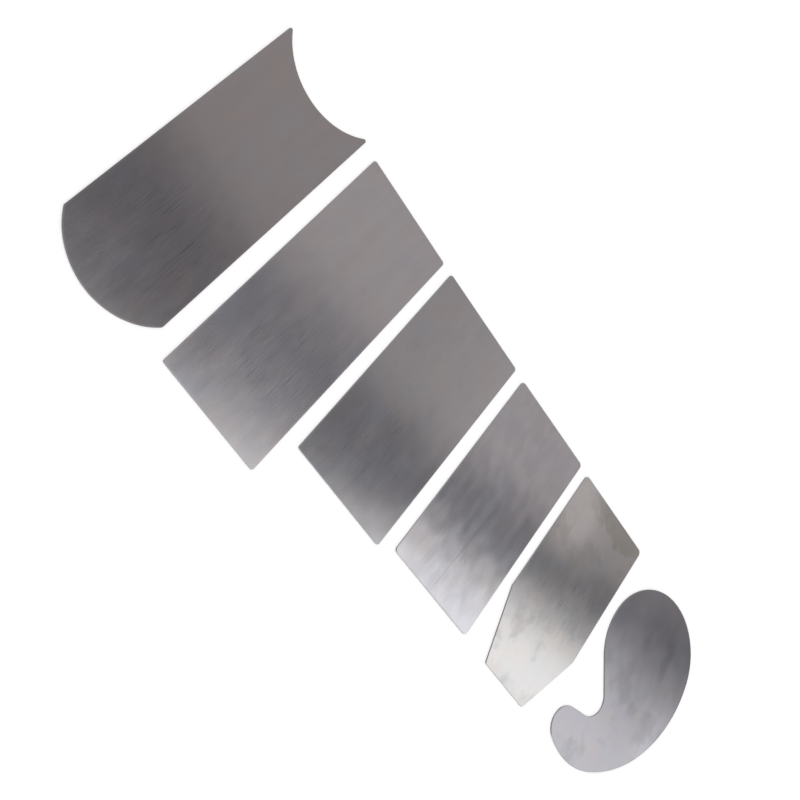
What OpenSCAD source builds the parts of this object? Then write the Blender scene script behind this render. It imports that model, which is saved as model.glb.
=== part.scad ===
// Set of six card scrapers, laid out side by side as they come off the grinder.
// Each one is a single blank of hardened spring steel, ground flat, with square edges: the edge
// is the tool, so no arris is broken and nothing is fitted to the steel.
// X runs along the cards, Y across the row and Z up from the surface that they lie on.

/* [Steel] */
// Thickness of the ground sheet
sheet_t = 0.8; // [0.4:0.1:1.5]
// Width of the curved, long, short and tapered scrapers
card_w = 62; // [50:0.5:70]

/* [Convex and concave scraper] */
// Length down the middle, from the crest of the convex end to the hollow of the concave end
curved_mid_l = 144; // [110:1:170]
// Radius of both curved ends, the same so that one end fits the other's work
end_arc_r = 38.4; // [36:0.2:60]
// Rounding where the long edges run into the convex end
convex_corner_r = 2; // [0.5:0.1:5]
// Rounding of the two horns of the concave end
horn_r = 1; // [0.3:0.1:2]

/* [Long rectangular scraper] */
// Length of the long scraper
long_l = 150; // [110:1:180]
// Rounding of its corners
long_corner_r = 1.5; // [0.5:0.1:6]

/* [Medium rectangular scraper] */
// Length of the medium scraper
medium_l = 126; // [90:1:150]
// Width of the medium scraper, a little wider than the others
medium_w = 63.3; // [50:0.1:75]
// Rounding of its corners
medium_corner_r = 1.7; // [0.5:0.1:6]

/* [Short rectangular scraper] */
// Length of the short scraper
short_l = 120; // [80:1:150]
// Rounding of its corners
short_corner_r = 2.4; // [0.5:0.1:6]

/* [Tapered scraper] */
// Length of the tapered scraper
tapered_l = 120; // [80:1:150]
// Length of its tapering nose
nose_l = 40; // [20:1:60]
// Width across the end of the nose
nose_w = 35; // [20:0.5:45]
// Rounding of the two wide corners
tapered_corner_r = 2.7; // [0.5:0.1:6]
// Rounding of the shoulders, where the nose begins
shoulder_r = 4; // [1:0.5:20]
// Rounding of the two corners of the nose
nose_corner_r = 1.5; // [0.5:0.1:5]

/* [Goose-neck scraper: radii] */
// Head, the broad round of the fat end
head_r = 38.8; // [34:0.2:44]
// Crown, the slightly tighter round above the head
crown_r = 35; // [31:0.5:38]
// Belly, below the head
belly_r = 68; // [60:1:76]
// Shin, the flattest round along the underside
shin_r = 79; // [70:1:90]
// Cheek, the round that turns up towards the tip
cheek_r = 39; // [34:0.5:46]
// Tip of the narrow end
tip_r = 11.2; // [8:0.2:14]
// Crook, the hollow between the tip and the head
crook_r = 10.4; // [7:0.2:12]

/* [Goose-neck scraper: where one round hands over to the next] */
// Crown to head, as an angle from +X about the centre of the round
crown_head_a = 66; // [50:1:80]
// Head to belly
head_belly_a = 288; // [280:1:300]
// Belly to shin
belly_shin_a = 270; // [260:1:276]
// Shin to cheek
shin_cheek_a = 214; // [208:1:222]
// Cheek to tip
cheek_tip_a = 162; // [154:1:172]
// Slope of the straight that climbs from the crook to the crown
flank_a = 45; // [38:1:52]
// Slope of the short straight that drops from the tip into the crook
throat_a = -74; // [-84:1:-66]

/* [Row] */
// Gap between the curved and the long scraper at their right-hand ends
curved_long_gap = 9.4; // [3:0.1:30]
// Gap between the long and the medium scraper, there
long_medium_gap = 6.8; // [3:0.1:30]
// Gap between the medium and the short scraper, there
medium_short_gap = 7.7; // [3:0.1:30]
// Gap between the short and the tapered scraper, there
short_tapered_gap = 6.8; // [3:0.1:30]
// Drop from the tapered scraper's near edge, there, to the crown of the goose-neck
tapered_gooseneck_gap = 8.5; // [4:0.1:30]
// How far the curved scraper's right-hand end stands past the long one's
curved_past = 1.7; // [-10:0.1:10]
// How far the medium scraper's does
medium_past = 0.6; // [-10:0.1:10]
// How far the short scraper's does
short_past = 1.5; // [-10:0.1:10]
// How far the tapered scraper's does
tapered_past = 2.4; // [-10:0.1:10]
// How far the goose-neck's head does
gooseneck_past = 3.9; // [-10:0.1:10]
// Turn of the curved scraper about its right-hand end
curved_turn = -0.3; // [-1:0.1:0]
// Turn of the medium scraper
medium_turn = 0.8; // [0:0.1:1]
// Turn of the short scraper
short_turn = 1.35; // [1:0.05:2]
// Turn of the tapered scraper
tapered_turn = 1.25; // [1:0.05:2]

/* [Hidden] */
steel = "#8b898b";
// Facets of a full circle in the preview
$fn = 240;
// Every round is drawn this much large, so that it crosses the straight or hollow beside it in
// one clean corner. It is far below what grinding holds.
hair = 0.0002;
// Depth by which a round reaches into the blank behind it
lap = sheet_t / 2;
// Places closer than this are one place
near = 0.01;
// Step to which a disc's centre is first rounded
coarse_step = 0.01;
// Angle by which a round runs on under a straight beside it
run_on_a = 5;

function along(a) = [cos(a), sin(a)];
function slope(v) = atan2(v.y, v.x);
function turned(p, a) = [p.x * cos(a) - p.y * sin(a), p.x * sin(a) + p.y * cos(a)];

// A blank's outline is a list of rounds taken anticlockwise, each one [centre, radius, start
// angle, end angle], with angles from +X. A negative radius is a hollow, swept clockwise. A
// straight joins the end of each round to the start of the next, unless they are one place.
function round_point(r, a) = r[0] + abs(r[1]) * along(a);
function start_of(r) = round_point(r, r[2]);
function end_of(r) = round_point(r, r[3]);
function meet(r, next) = norm(end_of(r) - start_of(next)) < near;

// Round of radius r at the corner of a polygon, between its neighbours on either side
function corner_round(last, corner, next, r) =
    let (
        arriving = slope(corner - last),
        bend = slope(turned(next - corner, -arriving)),
        touch = corner - r * tan(bend / 2) * along(arriving)
    )
    [touch + r * along(arriving + 90), r, arriving - 90, arriving + bend - 90];

// Rounds of a polygon, whose corners are each [x, y, radius]
function rounded(corners) = [
    for (i = [0 : len(corners) - 1])
        let (
            count = len(corners),
            last = corners[(i + count - 1) % count],
            here = corners[i],
            next = corners[(i + 1) % count]
        )
        corner_round([last.x, last.y], [here.x, here.y], [next.x, next.y], here.z)
];

// Centre of a hollow of radius r between two straights. Each straight has a slope and a round
// that it touches, on the other side of it from the hollow.
function hollow_between(r, slope_a, round_a, radius_a, slope_b, round_b, radius_b) =
    let (
        normal_a = along(slope_a + 90),
        normal_b = along(slope_b + 90),
        reach_a = round_a * normal_a + radius_a + r,
        reach_b = round_b * normal_b + radius_b + r
    )
    [
        reach_a * normal_b.y - reach_b * normal_a.y,
        reach_b * normal_a.x - reach_a * normal_b.x
    ] / cross(normal_a, normal_b);

// Disc placed in a coarse and a fine step, so that no digit of its centre is rounded off
module disc(centre, r) {
    coarse = [for (v = centre) coarse_step * round(v / coarse_step)];
    translate(coarse)
        translate(centre - coarse)
            circle(r + hair);
}

// The part of the plane that a round fills, from just inside the blank outwards
module sector(r, start_a, end_a) {
    radius = r[1];
    polygon([
        r[0] + (radius - lap) * along(start_a),
        r[0] + (radius + lap) * along(start_a),
        for (quarter = [1 : 3])
            r[0] + 2 * radius * along(start_a + quarter * (end_a - start_a) / 4),
        r[0] + (radius + lap) * along(end_a),
        r[0] + (radius - lap) * along(end_a)
    ]);
}

// Flat blank from its rounds: a polygon through their ends, with each round added or hollowed
module blank(rounds) {
    count = len(rounds);
    difference() {
        union() {
            polygon([
                for (i = [0 : count - 1])
                    each meet(rounds[i], rounds[(i + 1) % count])
                        ? [start_of(rounds[i])]
                        : [start_of(rounds[i]), end_of(rounds[i])]
            ]);
            for (i = [0 : count - 1]) {
                r = rounds[i];
                before = meet(rounds[(i + count - 1) % count], r) ? 0 : run_on_a;
                after = meet(r, rounds[(i + 1) % count]) ? 0 : run_on_a;
                if (r[1] > 0)
                    intersection() {
                        disc(r[0], r[1]);
                        sector(r, r[2] - before, r[3] + after);
                    }
            }
        }
        for (r = rounds)
            if (r[1] < 0)
                disc(r[0], -r[1]);
    }
}

half_w = card_w / 2;

// The horns' rounds touch the hollow and a long edge at once, and the convex end's rounds touch
// the convex end and a long edge. X = 0 is at the horns and Y = 0 on the centre line.
horn_centre = [-horn_r, half_w - horn_r];
hollow_centre = [
    sqrt(pow(end_arc_r + horn_r, 2) - pow(horn_centre.y, 2)) - horn_r,
    0
];
crest_centre = [hollow_centre.x - curved_mid_l, 0];
convex_corner_y = half_w - convex_corner_r;
convex_corner_centre = [
    crest_centre.x - sqrt(pow(end_arc_r - convex_corner_r, 2) - pow(convex_corner_y, 2)),
    convex_corner_y
];

module curved_blank() {
    horn_a = slope(hollow_centre - horn_centre);
    crest_a = slope(convex_corner_centre - crest_centre);
    function mirrored(p) = [p.x, -p.y];
    blank([
        [horn_centre, horn_r, horn_a, 90],
        [convex_corner_centre, convex_corner_r, 90, crest_a],
        [crest_centre, end_arc_r, crest_a, 360 - crest_a],
        [mirrored(convex_corner_centre), convex_corner_r, -crest_a, -90],
        [mirrored(horn_centre), horn_r, -90, -horn_a],
        [hollow_centre, -end_arc_r, 180 - horn_a, 180 + horn_a]
    ]);
}

// A rectangle from its right-hand end, X = 0, with Y = 0 on its centre line
module rectangular_blank(l, w, r) {
    far = w / 2;
    blank(rounded([[0, -far, r], [0, far, r], [-l, far, r], [-l, -far, r]]));
}

// The tapered scraper from its wide right-hand end, X = 0, with Y = 0 on its centre line
module tapered_blank() {
    half_nose = nose_w / 2;
    shoulder_x = nose_l - tapered_l;
    blank(rounded([
        [0, -half_w, tapered_corner_r],
        [0, half_w, tapered_corner_r],
        [shoulder_x, half_w, shoulder_r],
        [-tapered_l, half_nose, nose_corner_r],
        [-tapered_l, -half_nose, nose_corner_r],
        [shoulder_x, -half_w, shoulder_r]
    ]));
}

// The goose-neck from the middle of its head. Where two rounds hand over at an angle, their
// centres lie on one line at that angle, so the edge runs on smoothly.
head_centre = [0, 0];
crown_centre = head_centre + (head_r - crown_r) * along(crown_head_a);
belly_centre = head_centre + (head_r - belly_r) * along(head_belly_a);
shin_centre = belly_centre + (belly_r - shin_r) * along(belly_shin_a);
cheek_centre = shin_centre + (shin_r - cheek_r) * along(shin_cheek_a);
tip_centre = cheek_centre + (cheek_r - tip_r) * along(cheek_tip_a);
crook_centre =
    hollow_between(crook_r, throat_a, tip_centre, tip_r, flank_a, crown_centre, crown_r);

module gooseneck_blank() {
    blank([
        [crown_centre, crown_r, crown_head_a, flank_a + 90],
        [crook_centre, -crook_r, flank_a - 90, throat_a - 90],
        [tip_centre, tip_r, throat_a + 90, cheek_tip_a],
        [cheek_centre, cheek_r, cheek_tip_a, shin_cheek_a],
        [shin_centre, shin_r, shin_cheek_a, belly_shin_a],
        [belly_centre, belly_r, belly_shin_a, head_belly_a],
        [head_centre, head_r, head_belly_a, crown_head_a + 360]
    ]);
}

// Places in the row, measured from the middle of the long scraper's right-hand end
curved_at = [curved_past, card_w + curved_long_gap];
long_at = [0, 0];
medium_at = [medium_past, -half_w - long_medium_gap - medium_w / 2];
short_at = [short_past, medium_at.y - medium_w / 2 - medium_short_gap - half_w];
tapered_at = [tapered_past, short_at.y - card_w - short_tapered_gap];
gooseneck_at = [
    gooseneck_past - head_r,
    tapered_at.y - half_w - tapered_gooseneck_gap - crown_centre.y - crown_r
];

// The row's box: the convex end's crest is its left side, the goose-neck's head its right side,
// the curved scraper's far corner its far side and the goose-neck's underside its near side.
// The origin is under the middle of that box.
row_left = curved_at.x + turned(crest_centre, curved_turn).x - end_arc_r;
row_right = gooseneck_at.x + head_r;
row_far = curved_at.y + turned(convex_corner_centre, curved_turn).y + convex_corner_r;
row_near = gooseneck_at.y
    + (belly_shin_a < 270 ? belly_centre.y - belly_r : shin_centre.y - shin_r);
row_middle = [(row_left + row_right) / 2, (row_near + row_far) / 2];

module ground_blank(at, turn = 0) {
    color(steel)
        translate(at - row_middle)
            rotate(turn)
                linear_extrude(sheet_t)
                    children();
}

module convex_concave_scraper() {
    ground_blank(curved_at, curved_turn) curved_blank();
}

module long_rectangular_scraper() {
    ground_blank(long_at) rectangular_blank(long_l, card_w, long_corner_r);
}

module medium_rectangular_scraper() {
    ground_blank(medium_at, medium_turn)
        rectangular_blank(medium_l, medium_w, medium_corner_r);
}

module short_rectangular_scraper() {
    ground_blank(short_at, short_turn)
        rectangular_blank(short_l, card_w, short_corner_r);
}

module tapered_scraper() {
    ground_blank(tapered_at, tapered_turn) tapered_blank();
}

module gooseneck_scraper() {
    ground_blank(gooseneck_at) gooseneck_blank();
}

convex_concave_scraper();
long_rectangular_scraper();
medium_rectangular_scraper();
short_rectangular_scraper();
tapered_scraper();
gooseneck_scraper();
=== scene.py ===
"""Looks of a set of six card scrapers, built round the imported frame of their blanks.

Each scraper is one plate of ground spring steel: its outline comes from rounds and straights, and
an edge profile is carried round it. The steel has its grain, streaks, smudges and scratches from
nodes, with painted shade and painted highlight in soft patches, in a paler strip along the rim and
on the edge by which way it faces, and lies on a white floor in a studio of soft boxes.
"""

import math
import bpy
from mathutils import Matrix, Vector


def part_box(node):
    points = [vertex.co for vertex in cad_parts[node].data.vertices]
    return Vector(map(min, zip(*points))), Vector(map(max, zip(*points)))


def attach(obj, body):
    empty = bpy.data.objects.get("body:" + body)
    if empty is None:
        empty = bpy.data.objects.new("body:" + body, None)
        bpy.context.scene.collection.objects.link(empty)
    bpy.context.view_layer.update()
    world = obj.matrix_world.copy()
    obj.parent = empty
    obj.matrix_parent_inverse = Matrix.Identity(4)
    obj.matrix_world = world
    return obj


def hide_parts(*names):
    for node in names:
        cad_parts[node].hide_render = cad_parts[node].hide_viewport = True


bl_info = {
    "name": "Card Scraper Set",
    "version": (1, 0, 0),
    "blender": (4, 5, 0),
    "location": "View3D > Sidebar > Scrapers",
    "description": "Six card scrapers of ground spring steel on a white studio floor",
    "category": "Add Mesh",
}

from typing import NamedTuple

import bpy
import numpy as np
from bpy.props import FloatProperty, FloatVectorProperty, PointerProperty
from mathutils import Matrix

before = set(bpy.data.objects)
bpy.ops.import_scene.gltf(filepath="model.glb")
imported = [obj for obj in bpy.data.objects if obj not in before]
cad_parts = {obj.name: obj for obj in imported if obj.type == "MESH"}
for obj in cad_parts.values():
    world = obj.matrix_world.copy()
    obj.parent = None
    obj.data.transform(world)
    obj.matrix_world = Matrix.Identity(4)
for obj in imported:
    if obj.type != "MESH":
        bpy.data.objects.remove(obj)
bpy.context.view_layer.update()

MM = 0.001
# Name of the UV map, whose U runs along the grain and V across it, both in metres
GRAIN_MAP = "grain"
# Shift that keeps the whole row inside the unit square of the UV map
GRAIN_SHIFT = 0.5
# Name of the attribute that holds how far a point lies in from the edge, in metres
INSET = "inset"
# How far a plate may differ from its CAD node before its operator refuses it
FIT = 0.05 * MM
# Unit of length in which a sheet's bend is given
BEND_UNIT = 60 * MM
# Tints that handling and oil leave in patches on the steel, warm and cool
WARM_COOL = ((1.05, 1.0, 0.96), (0.96, 1.0, 1.04))
# A Mix node's sockets for colours go by number, because those for plain numbers share their names
MIX_A, MIX_B, MIX_RESULT = 6, 7, 2

# What a mark multiplies the steel's colour by, from dark to bright. Some marks in these tints are
# painted shade and painted highlight, and the comments above them say so
TARNISH = (0.84, 0.84, 0.79)
SHADE = (0.86, 0.86, 0.86)
SMEAR = (0.9, 0.9, 0.91)
CLOUD = (0.95, 0.95, 0.96)
PALE = (1.05, 1.05, 1.05)
GLINT = (1.08, 1.08, 1.08)
BRIGHT = (1.12, 1.12, 1.12)
# A patch wiped clean and painted much paler, partly a painted highlight
WIPED_PAINTED_HIGHLIGHT = (1.28, 1.27, 1.27)


class Mark(NamedTuple):
    """A mark on a plate: its place from the plate's middle, its reach along the grain and width
    across it, all in millimetres, its tint, the pattern that it shows in unless it is whole, its
    slant in degrees, and how ragged and how soft its border is."""

    x: float
    y: float
    reach: float
    width: float
    tint: tuple
    pattern: str = ""
    slant: float = 0.0
    ragged: float = 0.8
    soft: float = 0.4


class Finish(NamedTuple):
    """What tells one plate's surface from the next. The sheet is never quite flat: lean, bow, twist
    and cup say how it lies and bends, as heights in bend units one bend unit from its middle, and
    ripples how high the grinder's waves are. Lines, streaks and stains weigh those patterns, and
    the marks are its own."""

    lean: float
    bow: float
    twist: float
    cup: float
    ripples: float
    lines: float
    streaks: float
    stains: float
    marks: tuple


CURVED_FINISH = Finish(
    lean=0.004,
    bow=0.005,
    twist=0.01,
    cup=0.001,
    ripples=0.012 * MM,
    lines=0.8,
    streaks=0.3,
    stains=0.3,
    marks=(
        Mark(-38, -13, 12, 0.35, SMEAR, ragged=1.6),
        Mark(-24, 4, 7, 0.35, SMEAR, slant=2, ragged=1.6),
        Mark(-34, -4, 26, 20, SHADE, "dark scratches"),
        Mark(-42, -4, 26, 24, GLINT, "pale scratches"),
        # Painted shade, soft and broad, towards the convex end
        Mark(-45, 5, 34, 18, CLOUD, soft=0.8),
    ),
)
LONG_FINISH = Finish(
    lean=0.0,
    bow=0.005,
    twist=0.004,
    cup=-0.008,
    ripples=0.015 * MM,
    lines=0.8,
    streaks=0.35,
    stains=0.4,
    marks=(
        # These two paint the -X end and the band beside it lighter: painted highlight
        Mark(-24, -12, 32, 34, PALE, ragged=0.6, soft=0.8),
        Mark(-45, -8, 16, 80, BRIGHT, ragged=0.6, soft=0.8),
        Mark(-31, -4, 22, 24, SHADE, "dark scratches"),
        Mark(-31, -4, 22, 24, GLINT, "pale scratches"),
    ),
)
MEDIUM_FINISH = Finish(
    lean=-0.011,
    bow=0.001,
    twist=-0.002,
    cup=-0.025,
    ripples=0.015 * MM,
    lines=0.5,
    streaks=0.25,
    stains=0.6,
    marks=(
        Mark(-30, 2, 22, 22, SMEAR, "dark scratches"),
        Mark(-30, 2, 22, 22, PALE, "pale scratches"),
        # These two paint the sheet lighter towards -Y and darker towards +Y: painted highlight and
        # painted shade
        Mark(0, -30, 70, 15, PALE, ragged=0.6, soft=0.8),
        Mark(30, 26, 50, 15, CLOUD, ragged=0.6, soft=0.8),
    ),
)
SHORT_FINISH = Finish(
    lean=-0.002,
    bow=-0.004,
    twist=0.0,
    cup=0.012,
    ripples=0.05 * MM,
    lines=1.0,
    streaks=0.6,
    stains=0.3,
    marks=(
        Mark(-46, 0, 20, 32, CLOUD, "blots", ragged=0.6, soft=0.3),
        # Painted shade over the -X end, and a painted highlight across the middle
        Mark(-58, -4, 12, 34, CLOUD, ragged=0.6, soft=0.8),
        Mark(0, 12, 32, 26, GLINT, ragged=0.6, soft=0.8),
        Mark(32, 2, 28, 26, CLOUD, "blots", ragged=0.6, soft=0.5),
        Mark(-30, 0, 32, 0.35, SMEAR, slant=-3, ragged=1.6, soft=0.5),
        Mark(-38, -19, 9, 9, GLINT, "pale scratches", soft=0.3),
        Mark(-36, 8, 18, 16, SMEAR, "dark scratches"),
    ),
)
TAPERED_FINISH = Finish(
    lean=0.0015,
    bow=-0.011,
    twist=-0.002,
    cup=0.03,
    ripples=0.02 * MM,
    lines=1.0,
    streaks=0.3,
    stains=1.1,
    marks=(
        # A patch towards +X and +Y wiped clean and painted much paler, partly a painted highlight,
        # and painted shade towards +X and -Y
        Mark(42, 22, 26, 14, WIPED_PAINTED_HIGHLIGHT, ragged=0.5, soft=0.5),
        Mark(38, -20, 20, 14, SHADE, soft=0.7),
        Mark(62, -10, 13, 30, TARNISH, ragged=1.6, soft=0.12),
        Mark(-62, 2, 7, 15, CLOUD, ragged=1.6, soft=0.3),
        Mark(4, -6, 26, 22, SHADE, "dark scratches"),
        Mark(2, -4, 24, 20, GLINT, "pale scratches"),
    ),
)
GOOSENECK_FINISH = Finish(
    lean=0.006,
    bow=0.003,
    twist=0.006,
    cup=0.012,
    ripples=0.02 * MM,
    lines=0.4,
    streaks=0.25,
    stains=0.9,
    marks=(
        # The first two are painted highlights, and the third is painted shade across the middle
        Mark(40, 26, 36, 14, BRIGHT, soft=0.8),
        Mark(-12, -34, 18, 10, BRIGHT, soft=0.8),
        Mark(-5, -8, 32, 14, CLOUD, soft=0.8),
        Mark(25, 6, 6, 5, SMEAR, ragged=2.5, soft=0.6),
        Mark(31, -13, 10, 3, SHADE, slant=8, ragged=2.0, soft=0.6),
    ),
)


def linear(text):
    """An sRGB hex colour as linear red, green and blue."""
    srgb = [int(text[i : i + 2], 16) / 255 for i in (1, 3, 5)]
    return [v / 12.92 if v <= 0.04045 else ((v + 0.055) / 1.055) ** 2.4 for v in srgb]


def length(name, description, default):
    """A setting in metres."""
    return FloatProperty(
        name=name,
        description=description,
        default=default,
        min=0,
        precision=6,
        unit="LENGTH",
        subtype="DISTANCE",
    )


def angle(name, description, degrees):
    """A setting that is given in degrees and kept in radians."""
    return FloatProperty(
        name=name,
        description=description,
        default=math.radians(degrees),
        unit="ROTATION",
        subtype="ANGLE",
    )


def amount(name, description, default, most=1.0):
    """A setting without a unit, from 0 to the most."""
    return FloatProperty(
        name=name, description=description, default=default, min=0, max=most, subtype="FACTOR"
    )


def colour(name, description, text):
    """A colour setting, given as sRGB hex and kept linear."""
    return FloatVectorProperty(
        name=name, description=description, default=linear(text), min=0, max=1, subtype="COLOR"
    )


class EdgeSettings(bpy.types.PropertyGroup):
    arris: length("Arris", "Round that the stone leaves along each edge", 0.08 * MM)
    hold: length("Hold", "Flat kept beside the arris, so that faces shade flat", 0.02 * MM)
    # The rubbed strip also carries a painted highlight: the face is painted paler there
    rim: length("Rim", "Strip along the edge that the stone has rubbed", 0.9 * MM)
    step: angle("Step", "Angle between points on a round", 2)


class CurvedSettings(bpy.types.PropertyGroup):
    middle: length("Middle", "Length down the middle", 144 * MM)
    width: length("Width", "Width across the long edges", 62 * MM)
    end: length("End radius", "Radius of the convex and the concave end", 38.4 * MM)
    corner: length("Corner radius", "Round where a long edge meets the convex end", 2 * MM)
    horn: length("Horn radius", "Round of each horn of the concave end", 1 * MM)
    turn: angle("Turn", "Turn in the row", -0.3)
    face: colour("Face", "Colour of the ground face", "#bab8b8")


class RectangleSettings(bpy.types.PropertyGroup):
    long: length("Long", "Length of the long scraper", 150 * MM)
    medium: length("Medium", "Length of the medium scraper", 126 * MM)
    short: length("Short", "Length of the short scraper", 120 * MM)
    width: length("Width", "Width of the long and the short scraper", 62 * MM)
    medium_width: length("Medium width", "Width of the medium scraper", 63.3 * MM)
    long_corner: length("Long corner", "Corner radius of the long scraper", 1.5 * MM)
    medium_corner: length("Medium corner", "Corner radius of the medium scraper", 1.7 * MM)
    short_corner: length("Short corner", "Corner radius of the short scraper", 2.4 * MM)
    medium_turn: angle("Medium turn", "Turn of the medium scraper in the row", 0.8)
    short_turn: angle("Short turn", "Turn of the short scraper in the row", 1.35)
    long_face: colour("Long face", "Colour of the long scraper's ground face", "#d0d0d1")
    medium_face: colour("Medium face", "Colour of the medium scraper's ground face", "#c5c6c7")
    short_face: colour("Short face", "Colour of the short scraper's ground face", "#cccdcf")


class TaperedSettings(bpy.types.PropertyGroup):
    length: length("Length", "Length from the wide end to the nose", 120 * MM)
    width: length("Width", "Width at the wide end", 62 * MM)
    nose: length("Nose", "Length of the tapering nose", 40 * MM)
    nose_width: length("Nose width", "Width across the end of the nose", 35 * MM)
    corner: length("Corner radius", "Round of the wide corners", 2.7 * MM)
    shoulder: length("Shoulder radius", "Round where the nose begins", 4 * MM)
    nose_corner: length("Nose corner", "Round of the corners of the nose", 1.5 * MM)
    turn: angle("Turn", "Turn in the row", 1.25)
    face: colour("Face", "Colour of the ground face", "#c7c8c6")


class GooseneckSettings(bpy.types.PropertyGroup):
    head: length("Head", "Radius of the broad round of the fat end", 38.8 * MM)
    crown: length("Crown", "Radius above the head", 35 * MM)
    belly: length("Belly", "Radius below the head", 68 * MM)
    shin: length("Shin", "Radius of the flattest round, underneath", 79 * MM)
    cheek: length("Cheek", "Radius that turns up towards the tip", 39 * MM)
    tip: length("Tip", "Radius of the narrow end", 11.2 * MM)
    crook: length("Crook", "Radius of the hollow between the tip and the head", 10.4 * MM)
    crown_head: angle("Crown to head", "Angle at which the crown hands over", 66)
    head_belly: angle("Head to belly", "Angle at which the head hands over", 288)
    belly_shin: angle("Belly to shin", "Angle at which the belly hands over", 270)
    shin_cheek: angle("Shin to cheek", "Angle at which the shin hands over", 214)
    cheek_tip: angle("Cheek to tip", "Angle at which the cheek hands over", 162)
    flank: angle("Flank", "Slope of the straight from the crook to the crown", 45)
    throat: angle("Throat", "Slope of the straight from the tip into the crook", -74)
    face: colour("Face", "Colour of the ground face", "#a9aaae")


class SteelSettings(bpy.types.PropertyGroup):
    roughness: amount("Roughness", "Roughness of the ground face", 0.16)
    anisotropy: amount("Anisotropy", "How far the grain stretches reflections across it", 0.9)
    grain: length("Grain", "Spacing of the grain lines that show", 0.5 * MM)
    grain_length: length("Grain length", "Length of one grain line", 6 * MM)
    grain_depth: length("Grain depth", "Depth of one grain line", 0.001 * MM)
    dents: length("Dents", "Depth of the sheet's shallow dents", 0.08 * MM)
    # The edge colour is set darker than the face, partly as painted shade, and the two settings
    # after it paint the edge darker where it slants and lighter at the ends
    edge: colour("Edge", "Colour of the stoned edge along the sides", "#9c9c9e")
    painted_slant_shade: amount("Slant gain", "Brightness of the edge where it slants or curves", 0.65, 3)
    painted_end_light: amount("End gain", "Brightness of the edge at the ends", 1.9, 3)
    edge_roughness: amount("Edge roughness", "Roughness of the stoned edge", 0.3)


class StudioSettings(bpy.types.PropertyGroup):
    lens: FloatProperty(name="Lens", description="Focal length", default=49.74, unit="CAMERA")
    floor: length("Floor", "Width of the floor", 6.0)
    floor_gap: length("Floor gap", "How far the floor lies below the scrapers", 0.01 * MM)
    floor_colour: colour("Floor colour", "Colour of the floor's paper", "#f8f8f8")
    floor_lift: amount("Floor lift", "What lifts the floor to white where it is seen", 0.57)
    box: amount("Soft box", "Level of the large soft box", 1.55, 4)
    box_side: amount("Soft box side", "Level of the ceiling on the box's side of the gap", 0.9, 4)
    overhead: amount("Overhead box", "Level of the dim box overhead", 0.6, 4)
    box_colour: colour("Soft box colour", "Colour of the soft boxes", "#fffbfc")
    gap: amount("Gap", "Level of the dark gap between the box and the wall", 0.215, 4)
    gap_colour: colour("Gap colour", "Colour of the dark gap", "#f9f5ff")
    wall: amount("Wall", "Level of the lit wall", 0.44, 4)
    patch: amount("Patch", "Level of the brighter patch on the wall", 0.66, 4)
    wall_colour: colour("Wall colour", "Colour of the lit wall", "#fff6f7")
    room: amount("Room", "Mean level of the white room round the lights", 0.5, 4)


class ScraperSet(bpy.types.PropertyGroup):
    edge: PointerProperty(type=EdgeSettings)
    curved: PointerProperty(type=CurvedSettings)
    rectangle: PointerProperty(type=RectangleSettings)
    tapered: PointerProperty(type=TaperedSettings)
    gooseneck: PointerProperty(type=GooseneckSettings)
    steel: PointerProperty(type=SteelSettings)
    studio: PointerProperty(type=StudioSettings)


def along(a):
    """Unit vector at angle a from +X."""
    return np.array([np.cos(a), np.sin(a)])


def axes(turn):
    """Unit vectors along and across a plate that is turned in the row, as rows."""
    return np.array([along(turn), along(turn + math.pi / 2)])


def slope(v):
    """Angle of a vector from +X."""
    return math.atan2(v[1], v[0])


# A blank's outline is a list of rounds taken anticlockwise, each one a row of its centre's x and
# y, its radius, its start angle and its end angle. A negative radius is a hollow, swept
# clockwise. A straight joins the end of each round to the start of the next.
def round_row(centre, radius, start, end):
    """One round of an outline as its row."""
    return [centre[0], centre[1], radius, start, end]


def corner_row(last, corner, following, radius):
    """A corner's round: it touches both sides at radius * tan(half the bend) from the corner."""
    arriving = slope(corner - last)
    leaving = slope(following - corner)
    bend = (leaving - arriving) % math.tau
    touch = corner - radius * math.tan(bend / 2) * along(arriving)
    centre = touch + radius * along(arriving + math.pi / 2)
    return round_row(centre, radius, arriving - math.pi / 2, arriving + bend - math.pi / 2)


def polygon_rows(corners, radii):
    """The rounds of a polygon from its corners, taken anticlockwise, and their radii."""
    corners = np.array(corners, float)
    before = np.roll(corners, 1, axis=0)
    after = np.roll(corners, -1, axis=0)
    return [corner_row(*row) for row in zip(before, corners, after, radii)]


def rectangle_rows(long, wide, radius):
    """A rectangle round the origin, with four like corners."""
    x, y = long / 2, wide / 2
    return polygon_rows([[x, -y], [x, y], [-x, y], [-x, -y]], [radius] * 4)


def curved_rows(s):
    """Horns touch the hollow from outside and a long edge; corners touch the crest from inside."""
    y = s.width / 2
    horn = np.array([-s.horn, y - s.horn])
    hollow = np.array([math.sqrt((s.end + s.horn) ** 2 - horn[1] ** 2) - s.horn, 0])
    crest = hollow - [s.middle, 0]
    corner_y = y - s.corner
    corner = np.array([crest[0] - math.sqrt((s.end - s.corner) ** 2 - corner_y**2), corner_y])
    horn_a, crest_a = slope(hollow - horn), slope(corner - crest)
    down = np.array([1, -1])
    quarter = math.pi / 2
    return [
        round_row(horn, s.horn, horn_a, quarter),
        round_row(corner, s.corner, quarter, crest_a),
        round_row(crest, s.end, crest_a, math.tau - crest_a),
        round_row(corner * down, s.corner, -crest_a, -quarter),
        round_row(horn * down, s.horn, -quarter, -horn_a),
        round_row(hollow, -s.end, math.pi - horn_a, math.pi + horn_a),
    ]


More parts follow.
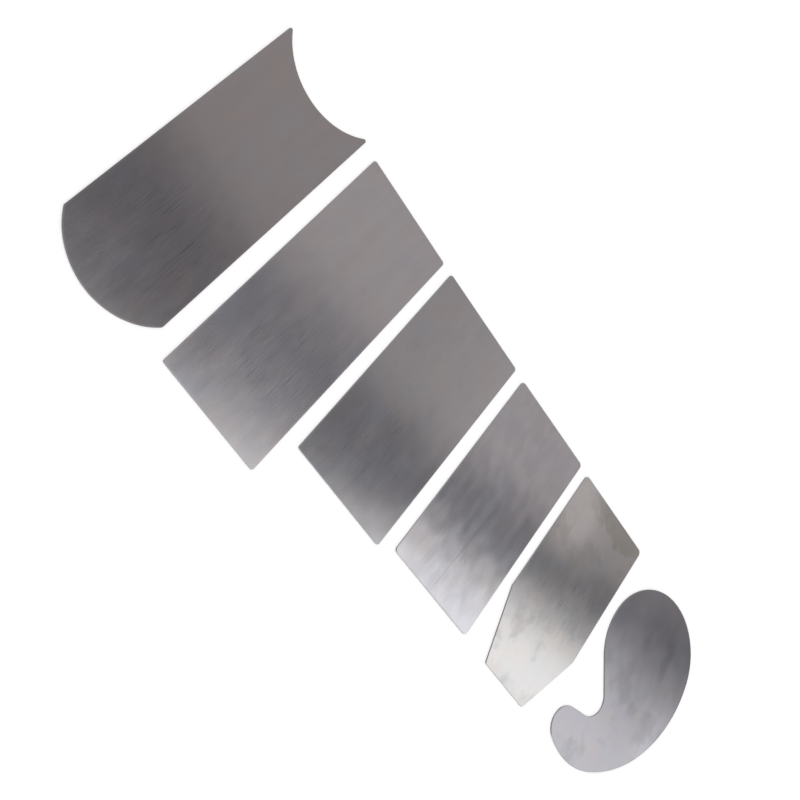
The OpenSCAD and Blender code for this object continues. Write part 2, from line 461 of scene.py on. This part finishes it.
def tapered_rows(s):
    """A rectangle to the shoulders, and from there straight sides in to the end of the nose."""
    y, nose_y, shoulder_x = s.width / 2, s.nose_width / 2, s.nose - s.length
    corners = [
        [0, -y],
        [0, y],
        [shoulder_x, y],
        [-s.length, nose_y],
        [-s.length, -nose_y],
        [shoulder_x, -y],
    ]
    radii = [s.corner, s.corner, s.shoulder, s.nose_corner, s.nose_corner, s.shoulder]
    return polygon_rows(corners, radii)


def gooseneck_rows(s):
    """Rounds that hand over at an angle have their centres on one line at that angle, and the
    hollow's centre is its radius off each of the two straights beside it."""
    head = np.zeros(2)
    crown = head + (s.head - s.crown) * along(s.crown_head)
    belly = head + (s.head - s.belly) * along(s.head_belly)
    shin = belly + (s.belly - s.shin) * along(s.belly_shin)
    cheek = shin + (s.shin - s.cheek) * along(s.shin_cheek)
    tip = cheek + (s.cheek - s.tip) * along(s.cheek_tip)
    quarter = math.pi / 2
    off = np.array([along(s.throat + quarter), along(s.flank + quarter)])
    reach = [off[0] @ tip + s.tip + s.crook, off[1] @ crown + s.crown + s.crook]
    crook = np.linalg.solve(off, reach)
    return [
        round_row(crown, s.crown, s.crown_head, s.flank + quarter),
        round_row(crook, -s.crook, s.flank - quarter, s.throat - quarter),
        round_row(tip, s.tip, s.throat + quarter, s.cheek_tip),
        round_row(cheek, s.cheek, s.cheek_tip, s.shin_cheek),
        round_row(shin, s.shin, s.shin_cheek, s.belly_shin),
        round_row(belly, s.belly, s.belly_shin, s.head_belly),
        round_row(head, s.head, s.head_belly, s.crown_head + math.tau),
    ]


def points_round(rows, step):
    """Centre, signed radius and direction of each point round the outline. A round that runs
    straight on into the next leaves its last point to that one."""
    centres, radii, directions = [], [], []
    for here, following in zip(rows, rows[1:] + rows[:1]):
        x, y, radius, start, end = here
        count = 2 + int(abs(end - start) / step)
        angles = np.linspace(start, end, count)
        last = np.array([x, y]) + abs(radius) * along(end)
        first = np.array(following[:2]) + abs(following[2]) * along(following[3])
        if np.linalg.norm(last - first) < FIT / 5:
            angles = angles[:-1]
        centres.append(np.tile([x, y], (len(angles), 1)))
        radii.append(np.full(len(angles), radius))
        directions.append(along(angles).T)
    return np.concatenate(centres), np.concatenate(radii), np.concatenate(directions)


def edge_profile(thick, arris, hold, rim, steps=5):
    """Inset from the edge and height, from the lower face round the wall to the upper face: each
    arris is a quarter round, inset arris * (1 - sin t) and height arris * (1 - cos t)."""
    t = np.linspace(0, math.pi / 2, steps)
    inset = np.concatenate([[rim, arris + hold], arris * (1 - np.sin(t)), [0]])
    height = np.concatenate([[0, 0], arris * (1 - np.cos(t)), [arris + hold]])
    return np.concatenate([inset, inset[::-1]]), np.concatenate([height, thick - height[::-1]])


def plate_mesh(name, rows, turn, node, edge):
    """A plate: the edge profile carried round the outline, closed by a flat face on each side.
    A point is its round's centre + (radius - inset) * direction, and in a hollow + (radius +
    inset) * direction, turned and set in the middle of its CAD node's box."""
    low, high = (np.array(corner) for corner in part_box(node))
    centre, radius, direction = points_round(rows, edge.step)
    inset, height = edge_profile(high[2] - low[2], edge.arris, edge.hold, edge.rim)
    reach = np.abs(radius) - np.sign(radius) * inset[:, None]
    flat = (centre + reach[..., None] * direction) @ axes(turn)
    widest = inset.argmin()
    middle = (flat[widest].min(0) + flat[widest].max(0)) / 2
    flat += (low + high)[:2] / 2 - middle
    outline = flat[widest]
    misfit = [outline.min(0) - low[:2], outline.max(0) - high[:2]]
    if np.abs(misfit).max() > FIT:
        raise RuntimeError(f"{name} doesn't fit its CAD node {node}")

    rings, count = flat.shape[:2]
    levels = np.broadcast_to(height[:, None, None] + low[2], (rings, count, 1))
    points = np.concatenate([flat, levels], axis=2).reshape(-1, 3)
    index = np.arange(rings * count).reshape(rings, count)
    beside = np.roll(index, -1, axis=1)
    quads = np.stack([index[:-1], beside[:-1], beside[1:], index[1:]], axis=-1).reshape(-1, 4)
    lower_face, upper_face = index[0, ::-1], index[-1]
    mesh = bpy.data.meshes.new(name)
    mesh.from_pydata(points, [], [*quads.tolist(), lower_face.tolist(), upper_face.tolist()])
    mesh.shade_smooth()

    # The grain map: the plate's own turned plane on the faces, and distance round the outline
    # against height on the edge
    on_plate = points[:, :2] @ axes(turn).T + GRAIN_SHIFT
    steps = np.linalg.norm(np.roll(outline, -1, axis=0) - outline, axis=1)
    start = np.cumsum(steps) - steps
    ring_of = np.repeat(np.arange(rings - 1), count)
    on_edge = (inset[ring_of] <= edge.arris) & (inset[ring_of + 1] <= edge.arris)
    round_edge = np.stack([start, start + steps, start + steps, start], axis=-1)
    round_edge = np.tile(round_edge, (rings - 1, 1))
    up_edge = height[ring_of[:, None] + np.array([0, 0, 1, 1])]
    quad_uv = np.where(
        on_edge[:, None, None], np.stack([round_edge, up_edge], axis=-1), on_plate[quads]
    )
    face_uv = on_plate[np.concatenate([lower_face, upper_face])]
    layer = mesh.uv_layers.new(name=GRAIN_MAP)
    layer.uv.foreach_set("vector", np.concatenate([quad_uv.reshape(-1, 2), face_uv]).ravel())
    slots = np.concatenate([on_edge.astype(np.int32), [0, 0]])
    mesh.polygons.foreach_set("material_index", slots)
    attribute = mesh.attributes.new(INSET, "FLOAT", "POINT")
    attribute.data.foreach_set("value", np.repeat(inset, count))
    mesh.update()
    return mesh


def add(tree, kind, inputs=None, **settings):
    """Adds a node with its settings. An input is a value or another node's output."""
    node = tree.nodes.new(kind)
    for name, value in settings.items():
        setattr(node, name, value)
    for name, value in (inputs or {}).items():
        socket = node.inputs[name]
        if isinstance(value, bpy.types.NodeSocket):
            tree.links.new(value, socket)
        else:
            socket.default_value = value
    return node


def new_material(name):
    """A material with no nodes yet, and its tree."""
    material = bpy.data.materials.new(name)
    material.use_nodes = True
    material.node_tree.nodes.clear()
    return material, material.node_tree


def stretched_noise(tree, uv, along_grain, across_grain, detail, roughness=0.5):
    """Noise whose patches have the given length and width. It averages a half."""
    place = add(
        tree,
        "ShaderNodeMapping",
        {"Vector": uv, "Scale": (1 / along_grain, 1 / across_grain, 1)},
    ).outputs["Vector"]
    return add(
        tree,
        "ShaderNodeTexNoise",
        {"Vector": place, "Scale": 1.0, "Detail": detail, "Roughness": roughness},
        noise_dimensions="2D",
    ).outputs["Fac"]


def weighted_sum(tree, start, patterns):
    """The start plus each pattern times its weight."""
    total = start
    for pattern, weight in patterns:
        total = add(
            tree,
            "ShaderNodeMath",
            {0: pattern, 1: weight, 2: total},
            operation="MULTIPLY_ADD",
        ).outputs[0]
    return total


def level_under(mean, noises):
    """The level from which weighted noises, which average a half each, add up to the mean."""
    return mean - sum(weight for _, weight in noises) / 2


# The noises of the ground face: the length of a patch along the grain and its width across it in
# millimetres, and the noise's detail and roughness. A real scratch is 0.1 mm wide, too fine to
# show, so it is drawn a few times as wide.
NOISES = (
    ("streaks", 40, 5, 2, 0.5),
    ("ripples", 14, 6, 0, 0.5),
    ("dents", 60, 40, 1, 0.5),
    ("smudges", 24, 17, 3, 0.6),
    ("scratches", 14, 0.6, 1, 0.5),
    ("tints", 19, 21, 1, 0.5),
    ("pools", 14, 7, 0, 0.5),
)
# The patterns that show where a noise is past a level, and the levels at which they start and show
# in full
RAMPS = (
    ("dark scratches", "scratches", 0.65, 0.7),
    ("pale scratches", "scratches", 0.34, 0.29),
    ("blots", "pools", 0.44, 0.54),
    ("stains", "smudges", 0.48, 0.7),
)


def steel_patterns(tree, uv, s, rim):
    """The patterns of the ground face by name: noises, what shows of them past a level, and a dark
    line and a rubbed strip that follow the edge; the strip also carries a painted highlight."""
    # A real grain line is 0.05 mm wide, too fine to show, so it is drawn ten times as wide
    patterns = {"grain": stretched_noise(tree, uv, s.grain_length, s.grain, 2)}
    for name, reach, width, detail, roughness in NOISES:
        patterns[name] = stretched_noise(tree, uv, reach * MM, width * MM, detail, roughness)
    patterns[INSET] = add(tree, "ShaderNodeAttribute", attribute_name=INSET).outputs["Fac"]
    # The strip along the rim is rubbed, and also painted paler as a highlight
    by_the_edge = (
        ("edge line", INSET, 0.35 * rim, 0.1 * rim),
        ("rubbed rim and glint", INSET, rim, 0.3 * rim),
    )
    for name, source, start, end in RAMPS + by_the_edge:
        patterns[name] = add(
            tree,
            "ShaderNodeMapRange",
            {"Value": patterns[source], "From Min": start, "From Max": end},
            interpolation_type="SMOOTHSTEP",
        ).outputs["Result"]
    return patterns


def marked_face(tree, uv, patterns, middle, face, finish):
    """Colour of the ground face: its tints, its shade and its marks, with the strip along the rim
    painted paler as a highlight and some marks painted shade and painted highlight. A mark covers
    the places whose distance from its middle, counted in its reach and width and made ragged by the
    smudges, is less than 1."""
    warm, cool = ([v * f for v, f in zip(face, tint)] + [1] for tint in WARM_COOL)
    face = add(
        tree,
        "ShaderNodeMix",
        {0: patterns["tints"], MIX_A: warm, MIX_B: cool},
        data_type="RGBA",
    ).outputs[MIX_RESULT]
    noises = [
        (patterns["grain"], 0.06 * finish.lines),
        (patterns["streaks"], 0.2 * finish.streaks),
        (patterns["smudges"], 0.1),
    ]
    others = [
        (patterns["stains"], -0.08 * finish.stains),
        # The strip along the rim painted paler: a painted highlight
        (patterns["rubbed rim and glint"], 0.08),
        (patterns["edge line"], -0.15),
    ]
    shade = weighted_sum(tree, level_under(1.0, noises), noises + others)
    face = add(
        tree, "ShaderNodeVectorMath", {0: face, "Scale": shade}, operation="SCALE"
    ).outputs["Vector"]
    for mark in finish.marks:
        from_middle = add(
            tree,
            "ShaderNodeMapping",
            {
                "Vector": uv,
                "Location": (middle[0] + mark.x * MM, middle[1] + mark.y * MM, 0),
                "Rotation": (0, 0, math.radians(mark.slant)),
                "Scale": (mark.reach * MM, mark.width * MM, 1),
            },
            vector_type="TEXTURE",
        ).outputs["Vector"]
        away = add(
            tree, "ShaderNodeVectorMath", {0: from_middle}, operation="LENGTH"
        ).outputs["Value"]
        away = weighted_sum(tree, away, [(patterns["smudges"], mark.ragged)])
        border = 1 + mark.ragged / 2
        covered = add(
            tree,
            "ShaderNodeMapRange",
            {"Value": away, "From Min": border + mark.soft, "From Max": border - mark.soft},
            interpolation_type="SMOOTHSTEP",
        ).outputs["Result"]
        if mark.pattern:
            covered = add(
                tree,
                "ShaderNodeMath",
                {0: covered, 1: patterns[mark.pattern]},
                operation="MULTIPLY",
            ).outputs[0]
        tinted = add(
            tree, "ShaderNodeVectorMath", {0: face, 1: mark.tint}, operation="MULTIPLY"
        ).outputs["Vector"]
        face = add(
            tree, "ShaderNodeMix", {0: covered, MIX_A: face, MIX_B: tinted}, data_type="RGBA"
        ).outputs[MIX_RESULT]
    return face


def sheet_height(tree, uv, patterns, middle, s, finish):
    """Height over a flat sheet. From the middle of the plate it is lean x + bow x² + twist x y +
    cup y² in bend units, and ripples, dents and grain lines are added to that."""
    place = add(
        tree,
        "ShaderNodeMapping",
        {
            "Vector": uv,
            "Location": (-middle[0] / BEND_UNIT, -middle[1] / BEND_UNIT, 0),
            "Scale": (1 / BEND_UNIT, 1 / BEND_UNIT, 1),
        },
    ).outputs["Vector"]
    place = add(tree, "ShaderNodeSeparateXYZ", {"Vector": place}).outputs
    x, y = place["X"], place["Y"]
    bends = [(x, finish.lean)]
    for one, other, weight in ((x, x, finish.bow), (x, y, finish.twist), (y, y, finish.cup)):
        product = add(tree, "ShaderNodeMath", {0: one, 1: other}, operation="MULTIPLY")
        bends.append((product.outputs[0], weight))
    heights = [(form, weight * BEND_UNIT) for form, weight in bends]
    heights += [
        (patterns["ripples"], finish.ripples),
        (patterns["dents"], s.dents),
        (patterns["grain"], s.grain_depth),
    ]
    return weighted_sum(tree, 0.0, heights)


def ground_spring_steel(name, s, rim, middle, face, finish):
    """Cold-rolled spring steel, hardened and ground lengthwise: a dull mirror whose reflections
    stretch across the grain. Its bend and ripples turn them, the grinder's lines scatter them in
    streaks, and scratches, stains and a rubbed strip along the edge mark it. That strip is also
    painted paler as a highlight, and some soft patches are painted shade and painted highlight."""
    material, tree = new_material(name)
    uv = add(tree, "ShaderNodeUVMap", uv_map=GRAIN_MAP).outputs["UV"]
    tangent = add(tree, "ShaderNodeTangent", direction_type="UV_MAP", uv_map=GRAIN_MAP)
    patterns = steel_patterns(tree, uv, s, rim)
    noises = [
        (patterns["grain"], 0.06 * finish.lines),
        (patterns["streaks"], 0.1 * finish.streaks),
        (patterns["smudges"], 0.05),
    ]
    others = [
        (patterns["stains"], 0.05 * finish.stains),
        (patterns["rubbed rim and glint"], 0.06),
    ]
    roughness = weighted_sum(tree, level_under(s.roughness, noises), noises + others)
    height = sheet_height(tree, uv, patterns, middle, s, finish)
    bump = add(tree, "ShaderNodeBump", {"Height": height, "Strength": 1.0, "Distance": 1.0})
    # The quarter turn stretches reflections across the tangent, which runs along the grain
    shader = add(
        tree,
        "ShaderNodeBsdfPrincipled",
        {
            "Base Color": marked_face(tree, uv, patterns, middle, face, finish),
            "Metallic": 1.0,
            "Roughness": roughness,
            "Anisotropic": s.anisotropy,
            "Anisotropic Rotation": 0.25,
            "Tangent": tangent.outputs["Tangent"],
            "Normal": bump.outputs["Normal"],
        },
    )
    add(tree, "ShaderNodeOutputMaterial", {"Surface": shader.outputs["BSDF"]})
    return material


def painted_light_steel_edge(name, s):
    """The same steel where the edge was filed and stoned square, with fine lines along the edge.
    Its colour is set darker than the face, partly for the stoned finish and partly as painted
    shade, and it is painted darker where the sides slant or curve and lighter at the ends, by which
    way each part faces: painted shade and painted highlight."""
    material, tree = new_material(name)
    uv = add(tree, "ShaderNodeUVMap", uv_map=GRAIN_MAP).outputs["UV"]
    lines = stretched_noise(tree, uv, 6 * MM, 0.06 * MM, 2)
    shade = add(
        tree,
        "ShaderNodeMapRange",
        {"Value": lines, "From Min": 0.3, "From Max": 0.7, "To Min": 0.75, "To Max": 1.2},
    ).outputs["Result"]
    facing = add(tree, "ShaderNodeNewGeometry").outputs["Normal"]
    facing = add(tree, "ShaderNodeSeparateXYZ", {"Vector": facing}).outputs["X"]
    facing = add(tree, "ShaderNodeMath", {0: facing}, operation="ABSOLUTE").outputs[0]
    # Painted shade and painted highlight by which way the wall faces: what it gains in brightness
    # as it turns to face along X, first where it starts to slant, and then where it is an end
    turns = ((0.1, 0.3, s.painted_slant_shade - 1), (0.75, 0.95, s.painted_end_light - s.painted_slant_shade))
    gains = []
    for start, end, gain in turns:
        reached = add(
            tree,
            "ShaderNodeMapRange",
            {"Value": facing, "From Min": start, "From Max": end},
            interpolation_type="SMOOTHSTEP",
        ).outputs["Result"]
        gains.append((reached, gain))
    face = s.edge
    for factor in (shade, weighted_sum(tree, 1.0, gains)):
        face = add(
            tree, "ShaderNodeVectorMath", {0: face, "Scale": factor}, operation="SCALE"
        ).outputs["Vector"]
    bump = add(
        tree, "ShaderNodeBump", {"Height": lines, "Strength": 1.0, "Distance": 0.002 * MM}
    )
    shader = add(
        tree,
        "ShaderNodeBsdfPrincipled",
        {
            "Base Color": face,
            "Metallic": 1.0,
            "Roughness": s.edge_roughness,
            "Normal": bump.outputs["Normal"],
        },
    )
    add(tree, "ShaderNodeOutputMaterial", {"Surface": shader.outputs["BSDF"]})
    return material


def add_scraper(node, rows, turn, face, finish):
    """Makes the plate that stands for one CAD node and dresses it."""
    settings = bpy.context.scene.scraper_set
    name = node.removesuffix("_scraper") + "_blade"
    mesh = plate_mesh(name, rows, turn, node, settings.edge)
    low, high = (np.array(corner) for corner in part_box(node))
    middle = axes(turn) @ (low + high)[:2] / 2 + GRAIN_SHIFT
    steel = ground_spring_steel(
        "ground_steel_" + name, settings.steel, settings.edge.rim, middle, face, finish
    )
    mesh.materials.append(steel)
    mesh.materials.append(painted_light_steel_edge("stoned_edge_painted_light_" + name, settings.steel))
    piece = bpy.data.objects.new(name, mesh)
    bpy.context.scene.collection.objects.link(piece)
    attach(piece, node)
    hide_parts(node)


class SCRAPER_OT_curved(bpy.types.Operator):
    """Adds the scraper with one convex and one concave end"""

    bl_idname = "scraper_set.curved"
    bl_label = "Convex and Concave Scraper"

    def execute(self, context):
        s = context.scene.scraper_set.curved
        add_scraper("convex_concave_scraper", curved_rows(s), s.turn, s.face, CURVED_FINISH)
        return {"FINISHED"}


class SCRAPER_OT_rectangular(bpy.types.Operator):
    """Adds the three rectangular scrapers"""

    bl_idname = "scraper_set.rectangular"
    bl_label = "Rectangular Scrapers"

    def execute(self, context):
        s = context.scene.scraper_set.rectangle
        long = rectangle_rows(s.long, s.width, s.long_corner)
        medium = rectangle_rows(s.medium, s.medium_width, s.medium_corner)
        short = rectangle_rows(s.short, s.width, s.short_corner)
        add_scraper("long_rectangular_scraper", long, 0, s.long_face, LONG_FINISH)
        add_scraper(
            "medium_rectangular_scraper", medium, s.medium_turn, s.medium_face, MEDIUM_FINISH
        )
        add_scraper("short_rectangular_scraper", short, s.short_turn, s.short_face, SHORT_FINISH)
        return {"FINISHED"}


class SCRAPER_OT_tapered(bpy.types.Operator):
    """Adds the scraper whose nose tapers"""

    bl_idname = "scraper_set.tapered"
    bl_label = "Tapered Scraper"

    def execute(self, context):
        s = context.scene.scraper_set.tapered
        add_scraper("tapered_scraper", tapered_rows(s), s.turn, s.face, TAPERED_FINISH)
        return {"FINISHED"}


class SCRAPER_OT_gooseneck(bpy.types.Operator):
    """Adds the goose-neck scraper"""

    bl_idname = "scraper_set.gooseneck"
    bl_label = "Goose-Neck Scraper"

    def execute(self, context):
        s = context.scene.scraper_set.gooseneck
        add_scraper("gooseneck_scraper", gooseneck_rows(s), 0, s.face, GOOSENECK_FINISH)
        return {"FINISHED"}


def add_camera(s):
    """The photograph's viewpoint: about half a metre up and to the left, looking down at 52°."""
    data = bpy.data.cameras.new("camera")
    data.lens = s.lens
    camera = bpy.data.objects.new("camera", data)
    right = (0.5735, -0.5439, 0.6126)
    down = (-0.6573, -0.7518, -0.0521)
    ahead = (0.4889, -0.3728, -0.7887)
    place = Matrix((right, [-v for v in down], [-v for v in ahead])).transposed().to_4x4()
    place.translation = (-250.44 * MM, 247.05 * MM, 418.06 * MM)
    camera.matrix_world = place
    bpy.context.scene.collection.objects.link(camera)
    bpy.context.scene.camera = camera


def seen_by(tree, *rays):
    """1 for these kinds of ray and 0 for all others."""
    path = add(tree, "ShaderNodeLightPath").outputs
    seen = 0.0
    for ray in rays:
        seen = add(
            tree, "ShaderNodeMath", {0: seen, 1: path[f"Is {ray} Ray"]}, operation="MAXIMUM"
        ).outputs[0]
    return seen


def add_floor(s):
    """A white floor that keeps shadows: diffuse, lifted to white for the camera and reflections."""
    mesh = bpy.data.meshes.new("floor")
    h = s.floor / 2
    z = -s.floor_gap
    mesh.from_pydata([(-h, -h, z), (h, -h, z), (h, h, z), (-h, h, z)], [], [(0, 1, 2, 3)])
    floor = bpy.data.objects.new("floor", mesh)
    bpy.context.scene.collection.objects.link(floor)
    material, tree = new_material("white_paper_floor")
    lift = add(
        tree,
        "ShaderNodeMath",
        {0: seen_by(tree, "Camera", "Glossy", "Transmission"), 1: s.floor_lift},
        operation="MULTIPLY",
    ).outputs[0]
    paper = add(tree, "ShaderNodeBsdfDiffuse", {"Color": (*s.floor_colour, 1)})
    glow = add(tree, "ShaderNodeEmission", {"Color": (1, 1, 1, 1), "Strength": lift})
    both = add(
        tree, "ShaderNodeAddShader", {0: paper.outputs["BSDF"], 1: glow.outputs["Emission"]}
    )
    add(tree, "ShaderNodeOutputMaterial", {"Surface": both.outputs["Shader"]})
    mesh.materials.append(material)


# The studio is laid out on a flat ceiling, where a direction's place is x / z and y / z. Borders
# close each area in: a row says what that x and y and the direction's height count in the border,
# where the area starts and where it shows in full.
BOX_SIDE = ((1, 0.309, 0, 0.41, 0.23),)
BOX = BOX_SIDE + ((1, 0, 0, 0.1, 0.4), (0, 1, 0, -2.2, -0.35), (0, 1, 0, 0.4, -0.35))
OVERHEAD = ((1, 0.35, 0, -0.06, 0.06), (1, 0, 0, 0.45, 0.2), (0, 1, 0, -0.7, -0.3))
WALL = ((1, 0.195, 0, 0.53, 0.575),)
PATCH = ((1, 0, 0, 0.68, 0.74), (0, 1, 0, -0.92, -0.78), (0, 1, 0, -0.68, -0.76))
# The middle of the studio, with the gap, the wall and the box's side. The room is round it.
MIDDLE = (
    (1, 0, 0, 0.1, 0.45),
    (1, 0, 0, 1.5, 1.0),
    (0, 1, 0, -2.0, -1.4),
    (0, 1, 0, 0.5, 0.1),
    (0, 0, 1, 0.2, 0.45),
)


def within(tree, place, borders):
    """1 where a place is past all borders of an area, and 0 where it is short of any."""
    shown = 1.0
    for x, y, z, start, end in borders:
        line = add(tree, "ShaderNodeVectorMath", {0: place, 1: (x, y, z)}, operation="DOT_PRODUCT")
        past = add(
            tree,
            "ShaderNodeMapRange",
            {"Value": line.outputs["Value"], "From Min": start, "From Max": end},
            interpolation_type="SMOOTHSTEP",
        ).outputs["Result"]
        shown = add(tree, "ShaderNodeMath", {0: shown, 1: past}, operation="MULTIPLY").outputs[0]
    return shown


def white_room(tree, sky, level):
    """A white room that is brighter here and darker there, as walls and curtains make it."""
    clouds = add(
        tree, "ShaderNodeTexNoise", {"Vector": sky, "Scale": 2.8, "Detail": 0.5}
    ).outputs["Fac"]
    uneven = add(
        tree,
        "ShaderNodeMapRange",
        {"Value": clouds, "From Min": 0.4, "From Max": 0.6, "To Min": 0.3, "To Max": 1.6},
    ).outputs["Result"]
    return add(
        tree, "ShaderNodeVectorMath", {0: (level,) * 3, "Scale": uneven}, operation="SCALE"
    ).outputs["Vector"]


def add_studio_light(s):
    """Soft boxes by direction: a large box is on the left, a lit wall on the right, a dark gap runs
    between them, and a white room is round them all."""
    world = bpy.data.worlds.new("studio")
    bpy.context.scene.world = world
    world.use_nodes = True
    tree = world.node_tree
    tree.nodes.clear()
    sky = add(tree, "ShaderNodeTexCoord").outputs["Generated"]
    z = add(tree, "ShaderNodeSeparateXYZ", {"Vector": sky}).outputs["Z"]
    # Near the horizon and below it the height counts as 0.05, so that places don't run off
    up = add(tree, "ShaderNodeMath", {0: z, 1: 0.05}, operation="MAXIMUM").outputs[0]
    up = add(tree, "ShaderNodeCombineXYZ", {"X": up, "Y": up, "Z": 1.0}).outputs["Vector"]
    place = add(
        tree, "ShaderNodeVectorMath", {0: sky, 1: up}, operation="DIVIDE"
    ).outputs["Vector"]

    def light_over(below, borders, level, tint):
        """An area's light, where it shows, over what is below it."""
        light = [v * level for v in tint] + [1]
        return add(
            tree,
            "ShaderNodeMix",
            {0: within(tree, place, borders), MIX_A: below, MIX_B: light},
            data_type="RGBA",
        ).outputs[MIX_RESULT]

    shown = [v * s.gap for v in s.gap_colour] + [1]
    shown = light_over(shown, WALL, s.wall, s.wall_colour)
    shown = light_over(shown, PATCH, s.patch, s.wall_colour)
    shown = light_over(shown, BOX_SIDE, s.box_side, s.box_colour)
    room = white_room(tree, sky, s.room)
    shown = add(
        tree,
        "ShaderNodeMix",
        {0: within(tree, place, MIDDLE), MIX_A: room, MIX_B: shown},
        data_type="RGBA",
    ).outputs[MIX_RESULT]
    shown = light_over(shown, OVERHEAD, s.overhead, s.box_colour)
    shown = light_over(shown, BOX, s.box, s.box_colour)

    white = add(tree, "ShaderNodeBackground", {"Color": (1, 1, 1, 1), "Strength": 1.0})
    studio = add(tree, "ShaderNodeBackground", {"Color": shown, "Strength": 1.0})
    view = add(
        tree,
        "ShaderNodeMixShader",
        {
            0: seen_by(tree, "Camera", "Transmission"),
            1: studio.outputs["Background"],
            2: white.outputs["Background"],
        },
    )
    add(tree, "ShaderNodeOutputWorld", {"Surface": view.outputs["Shader"]})


class SCRAPER_OT_stage(bpy.types.Operator):
    """Adds the camera, the white floor and the studio light"""

    bl_idname = "scraper_set.stage"
    bl_label = "Camera, Floor and Light"

    def execute(self, context):
        s = context.scene.scraper_set.studio
        context.scene.view_settings.view_transform = "Standard"
        add_camera(s)
        add_floor(s)
        add_studio_light(s)
        return {"FINISHED"}


OPERATORS = (
    SCRAPER_OT_stage,
    SCRAPER_OT_curved,
    SCRAPER_OT_rectangular,
    SCRAPER_OT_tapered,
    SCRAPER_OT_gooseneck,
)


class SCRAPER_PT_set(bpy.types.Panel):
    """Lists the scrapers, the stage and their settings"""

    bl_idname = "SCRAPER_PT_set"
    bl_label = "Card Scraper Set"
    bl_space_type = "VIEW_3D"
    bl_region_type = "UI"
    bl_category = "Scrapers"

    def draw(self, context):
        for operator in OPERATORS:
            self.layout.operator(operator.bl_idname)
        everything = context.scene.scraper_set
        for name in ScraperSet.__annotations__:
            group = getattr(everything, name)
            box = self.layout.box()
            box.label(text=name.title())
            for setting in type(group).__annotations__:
                box.prop(group, setting)


GROUPS = (
    EdgeSettings,
    CurvedSettings,
    RectangleSettings,
    TaperedSettings,
    GooseneckSettings,
    SteelSettings,
    StudioSettings,
    ScraperSet,
)
CLASSES = GROUPS + OPERATORS + (SCRAPER_PT_set,)


def register():
    """Registers the classes and gives each scene its settings."""
    for made in CLASSES:
        bpy.utils.register_class(made)
    bpy.types.Scene.scraper_set = PointerProperty(type=ScraperSet)


def unregister():
    """Takes the settings and the classes away again."""
    del bpy.types.Scene.scraper_set
    for made in reversed(CLASSES):
        bpy.utils.unregister_class(made)


def main():
    """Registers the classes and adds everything."""
    register()
    bpy.ops.scraper_set.stage()
    bpy.ops.scraper_set.curved()
    bpy.ops.scraper_set.rectangular()
    bpy.ops.scraper_set.tapered()
    bpy.ops.scraper_set.gooseneck()


if __name__ == "__main__":
    main()
